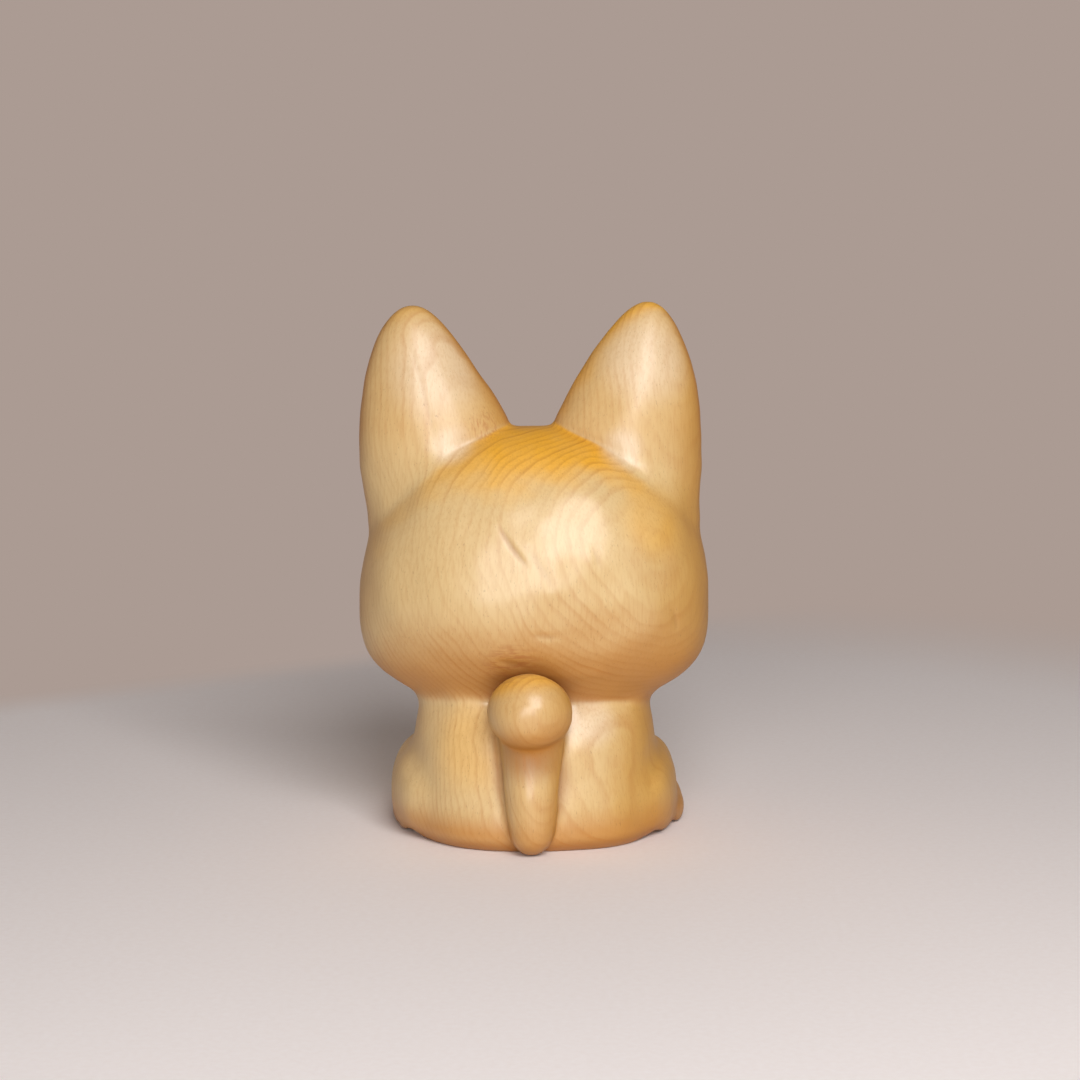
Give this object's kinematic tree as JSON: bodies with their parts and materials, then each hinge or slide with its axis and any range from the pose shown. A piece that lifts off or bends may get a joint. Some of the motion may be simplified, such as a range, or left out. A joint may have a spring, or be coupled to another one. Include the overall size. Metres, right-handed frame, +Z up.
{
  "type": "carved cat figurine",
  "caption": "Small carved boxwood cat, sitting upright with tall pointed ears, full cheeks, a raised forepaw and a round-tipped tail against its back; a free-standing ornament.",
  "frame": {"origin": "bottom centre of the figure's box, on the surface that it sits on", "axes": "+Z up, the cat faces -Y and its own left is +X"},
  "size_m": [0.0448, 0.0412, 0.0676],
  "materials": {
    "boxwood": "satin, hand-rubbed wax over fine honey-yellow grain",
    "eye_bead": "polished ebony"
  },
  "bodies": {
    "root": {"head": "boxwood", "torso": "boxwood", "muzzle": "boxwood", "left_ear": "boxwood", "right_ear": "boxwood", "left_haunch": "boxwood", "right_haunch": "boxwood", "left_hind_paw": "boxwood", "right_hind_paw": "boxwood", "left_foreleg": "boxwood", "left_forepaw": "boxwood", "right_foreleg": "boxwood", "right_forepaw": "boxwood", "tail_stem": "boxwood", "tail_tip": "boxwood", "left_eye": "eye_bead", "right_eye": "eye_bead"}
  },
  "joints": []
}
